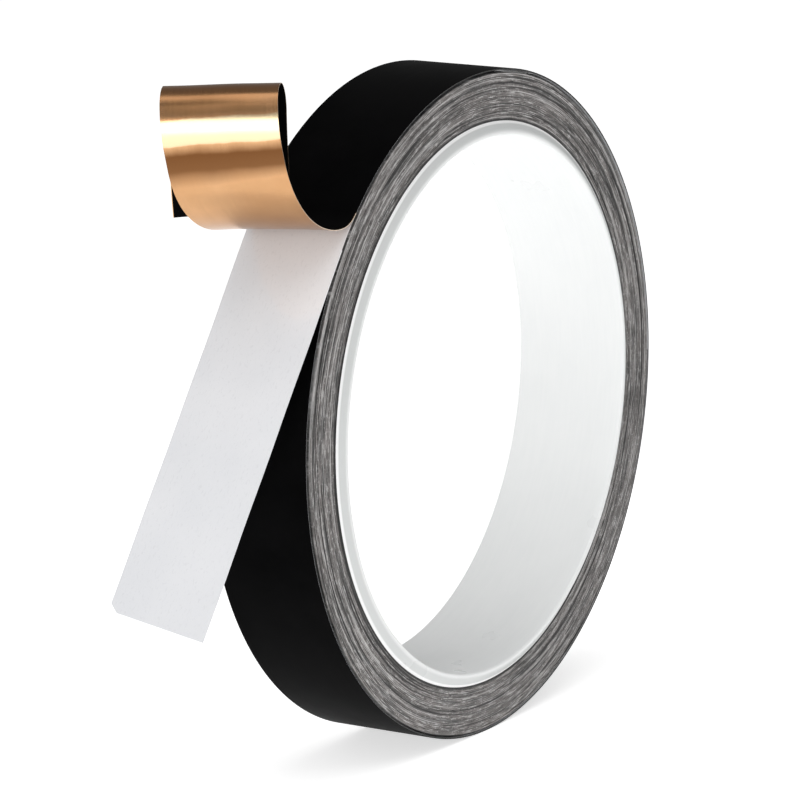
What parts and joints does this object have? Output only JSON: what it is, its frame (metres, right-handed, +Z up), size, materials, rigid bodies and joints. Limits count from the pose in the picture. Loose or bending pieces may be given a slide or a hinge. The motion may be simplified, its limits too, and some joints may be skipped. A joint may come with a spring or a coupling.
{
  "type": "copper foil tape roll",
  "caption": "Roll of black-backed copper foil tape on a white plastic core, with the paper liner pulled loose and the foil end curled back.",
  "frame": {"origin": "centre of the core's bore, halfway across the tape", "axes": "+Y along the core's axis, away from the front face; +Z up with the roll standing on its edge; the loose end leaves on the -X side"},
  "size_m": [0.1195, 0.02, 0.0988],
  "materials": {
    "core_plastic": "smooth white moulded plastic",
    "liner_paper": "siliconed release paper, slight gloss",
    "copper_foil": "bright rolled copper under clear adhesive",
    "black_film": "black backing, low sheen"
  },
  "bodies": {
    "roll": {"core": "core_plastic", "liner_windings": "liner_paper", "foil_windings": "copper_foil", "film_windings": "black_film"},
    "outer_wrap": {"liner_wrap": "liner_paper", "foil_wrap": "copper_foil", "film_wrap": "black_film"},
    "loose_liner": {"liner_tail": "liner_paper"},
    "loose_foil": {"foil_curl": "copper_foil", "film_curl": "black_film"}
  },
  "joints": [
    {"name": "unwind", "type": "hinge", "parent": "roll", "child": "outer_wrap", "pos_m": [0, 0, 0], "axis": [0, 1, 0], "continuous": true},
    {"name": "liner_bend", "type": "hinge", "parent": "outer_wrap", "child": "loose_liner", "pos_m": [-0.03823, 0, 0.02778], "axis": [0, 1, 0], "range_deg": [0, 15], "stiffness_Nm_per_rad": 0.001},
    {"name": "foil_peel", "type": "hinge", "parent": "outer_wrap", "child": "loose_foil", "pos_m": [-0.03577, 0, 0.03109], "axis": [0, 1, 0], "range_deg": [-10, 30]}
  ]
}
